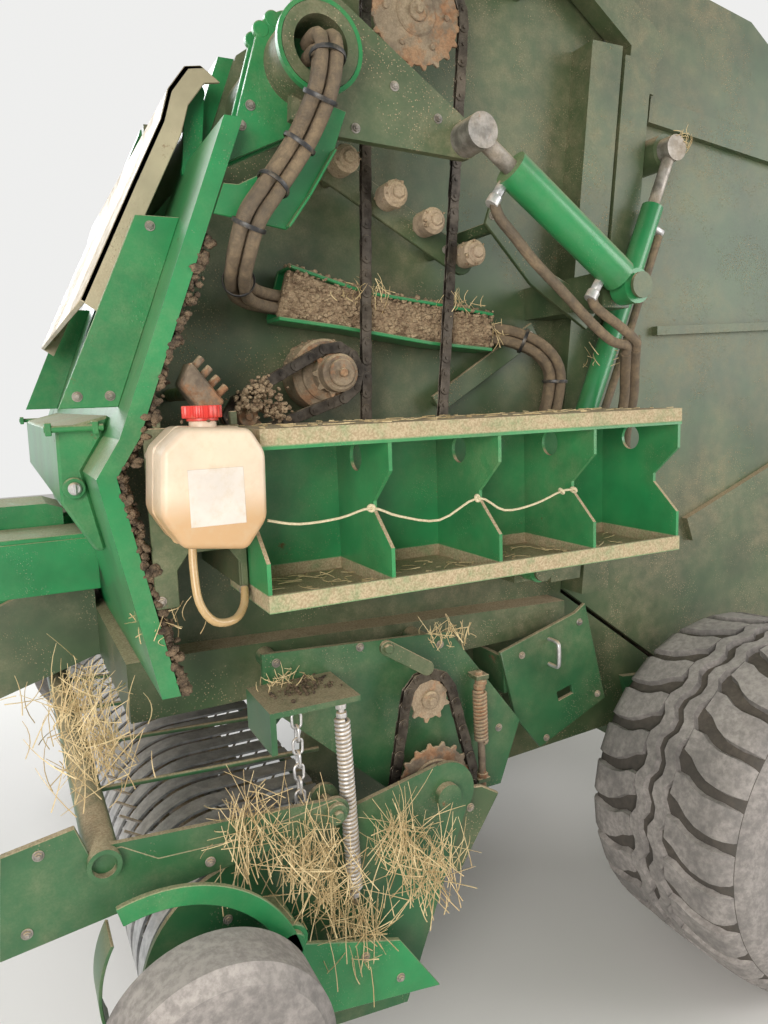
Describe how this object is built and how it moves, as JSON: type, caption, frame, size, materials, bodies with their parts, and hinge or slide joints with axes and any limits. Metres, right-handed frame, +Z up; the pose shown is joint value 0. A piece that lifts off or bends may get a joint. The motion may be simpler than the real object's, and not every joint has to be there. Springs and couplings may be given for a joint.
{
  "type": "round baler",
  "caption": "Towed round baler with a belt chamber, tined pickup, hinged tailgate with lift cylinders, side guards, twine boxes and flotation wheels, parked on its jack.",
  "frame": {"origin": "on the ground, at the centre of the footprint with the left guard open", "axes": "+Z up; -X forward, towards the tractor; -Y to the machine's left side, where the guard stands open"},
  "size_m": [4.572, 3.7058, 2.9809],
  "materials": {
    "green_paint": "gloss paint under dust",
    "dusty_green": "paint under a film of dry dust",
    "bright_green": "gloss paint",
    "bare_steel": "worn steel",
    "rusty_iron": "rust and caked dust",
    "zinc": "zinc plated",
    "belt_rubber": "matte rubber",
    "tyre_rubber": "dusty rubber",
    "cream_paint": "faded paint",
    "tank_plastic": "clouded plastic",
    "red_plastic": "matte",
    "black_plastic": "matte"
  },
  "bodies": {
    "root": {"axle_beam": "green_paint", "chassis": "dusty_green", "tow_eye": "bare_steel", "jack_tube": "green_paint", "left_wall": "dusty_green", "right_wall": "dusty_green", "bulkhead": "bright_green", "roof_sheet": "green_paint", "chamber_rollers": "bare_steel", "front_belts": "belt_rubber", "net_box": "bright_green", "gearbox": "bright_green", "intake_sides": "green_paint", "relief_springs": "zinc", "side_cover": "green_paint", "twine_box_left": "dusty_green", "twine_box_right": "dusty_green", "oil_tank": "tank_plastic", "oil_cap": "red_plastic", "tank_bracket": "dusty_green", "hose_tray": "bright_green", "idler_arm": "dusty_green", "drive_chains": "bare_steel", "drive_sprockets": "rusty_iron", "lube_block": "rusty_iron"},
    "tailgate": {"tail_wall_left": "dusty_green", "tail_wall_right": "dusty_green", "tail_shell": "green_paint", "tail_belts": "belt_rubber", "tail_drums": "bare_steel", "tail_lamps": "black_plastic"},
    "lift_barrels": {"lift_barrels": "bright_green"},
    "lift_rods": {"lift_rods": "zinc"},
    "tension_arm": {"tension_arm": "dusty_green"},
    "tension_barrels": {"tension_barrels": "bright_green"},
    "tension_rods": {"tension_rods": "zinc"},
    "pickup": {"pickup_frame": "green_paint", "stripper_bands": "zinc", "gauge_arms": "bright_green"},
    "reel": {"tine_reel": "bare_steel"},
    "gauge_left": {"gauge_wheel_left": "tyre_rubber"},
    "gauge_right": {"gauge_wheel_right": "tyre_rubber"},
    "crop_press": {"crop_press": "green_paint"},
    "rotor": {"feed_rotor": "bright_green"},
    "net_hood": {"net_hood": "cream_paint"},
    "guard_left": {"guard_left": "bright_green"},
    "guard_right": {"guard_right": "bright_green"},
    "wheel_left": {"tyre_left": "tyre_rubber", "rim_left": "cream_paint"},
    "wheel_right": {"tyre_right": "tyre_rubber", "rim_right": "cream_paint"},
    "jack": {"jack_leg": "zinc"},
    "pto": {"pto_stub": "zinc"}
  },
  "joints": [
    {"name": "tailgate_lift", "type": "hinge", "parent": "root", "child": "tailgate", "pos_m": [0.62, 0.55288, 2.69], "axis": [0, -1, 0], "range_deg": [0, 60]},
    {"name": "lift_barrel_swing", "type": "hinge", "parent": "root", "child": "lift_barrels", "pos_m": [0.422, 0.55288, 1.12], "axis": [0, -1, 0], "range_deg": [-1.9, 0.1]},
    {"name": "lift_rod_slide", "type": "slide", "parent": "lift_barrels", "child": "lift_rods", "axis": [0.3893, 0, 0.9211], "range_m": [-0.001, 0.528]},
    {"name": "tension_swing", "type": "hinge", "parent": "root", "child": "tension_arm", "pos_m": [-0.246, 0.55288, 2.232], "axis": [0, -1, 0], "range_deg": [0, 40]},
    {"name": "tension_barrel_swing", "type": "hinge", "parent": "root", "child": "tension_barrels", "pos_m": [0.53, 0.55288, 1.829], "axis": [0, -1, 0], "range_deg": [-16.6, 0.1]},
    {"name": "tension_rod_slide", "type": "slide", "parent": "tension_barrels", "child": "tension_rods", "axis": [-0.8206, 0, 0.5715], "range_m": [-0.001, 0.185]},
    {"name": "pickup_lift", "type": "hinge", "parent": "root", "child": "pickup", "pos_m": [-0.004, 0.55288, 0.69], "axis": [0, -1, 0], "range_deg": [0, 15], "deforming": ["relief_springs"]},
    {"name": "reel_spin", "type": "hinge", "parent": "pickup", "child": "reel", "pos_m": [-0.46, 0.55288, 0.44], "axis": [0, 1, 0], "continuous": true},
    {"name": "gauge_left_spin", "type": "hinge", "parent": "pickup", "child": "gauge_left", "pos_m": [-0.6, 0.55288, 0.47], "axis": [0, 1, 0], "continuous": true},
    {"name": "gauge_right_spin", "type": "hinge", "parent": "pickup", "child": "gauge_right", "pos_m": [-0.6, 0.55288, 0.47], "axis": [0, 1, 0], "continuous": true},
    {"name": "press_swing", "type": "hinge", "parent": "pickup", "child": "crop_press", "pos_m": [-0.3, 0.55288, 0.76], "axis": [0, -1, 0], "range_deg": [-4, 8]},
    {"name": "rotor_spin", "type": "hinge", "parent": "root", "child": "rotor", "pos_m": [-0.004, 0.55288, 0.69], "axis": [0, 1, 0], "continuous": true},
    {"name": "hood_lift", "type": "hinge", "parent": "root", "child": "net_hood", "pos_m": [-0.395, 0.55288, 2.25], "axis": [0, 1, 0], "range_deg": [0, 70]},
    {"name": "guard_left_lift", "type": "hinge", "parent": "root", "child": "guard_left", "pos_m": [0, -0.24712, 2.62], "axis": [1, 0, 0], "range_deg": [0, 80]},
    {"name": "guard_right_lift", "type": "hinge", "parent": "root", "child": "guard_right", "pos_m": [0, 1.35288, 2.62], "axis": [1, 0, 0], "range_deg": [0, 80]},
    {"name": "wheel_left_spin", "type": "hinge", "parent": "root", "child": "wheel_left", "pos_m": [1, 0.55288, 0.47], "axis": [0, 1, 0], "continuous": true},
    {"name": "wheel_right_spin", "type": "hinge", "parent": "root", "child": "wheel_right", "pos_m": [1, 0.55288, 0.47], "axis": [0, 1, 0], "continuous": true},
    {"name": "jack_slide", "type": "slide", "parent": "root", "child": "jack", "axis": [0, 0, 1], "range_m": [0, 0.3]},
    {"name": "pto_spin", "type": "hinge", "parent": "root", "child": "pto", "pos_m": [-0.9, 0.55288, 1.23], "axis": [1, 0, 0], "continuous": true}
  ],
  "couplings": [
    {"joint": "lift_barrel_swing", "follows": "tailgate_lift", "ratio": -0.02884},
    {"joint": "lift_rod_slide", "follows": "tailgate_lift", "m_per_rad": 0.50267},
    {"joint": "tension_barrel_swing", "follows": "tension_swing", "ratio": -0.41048},
    {"joint": "tension_rod_slide", "follows": "tension_swing", "m_per_rad": 0.2618}
  ]
}
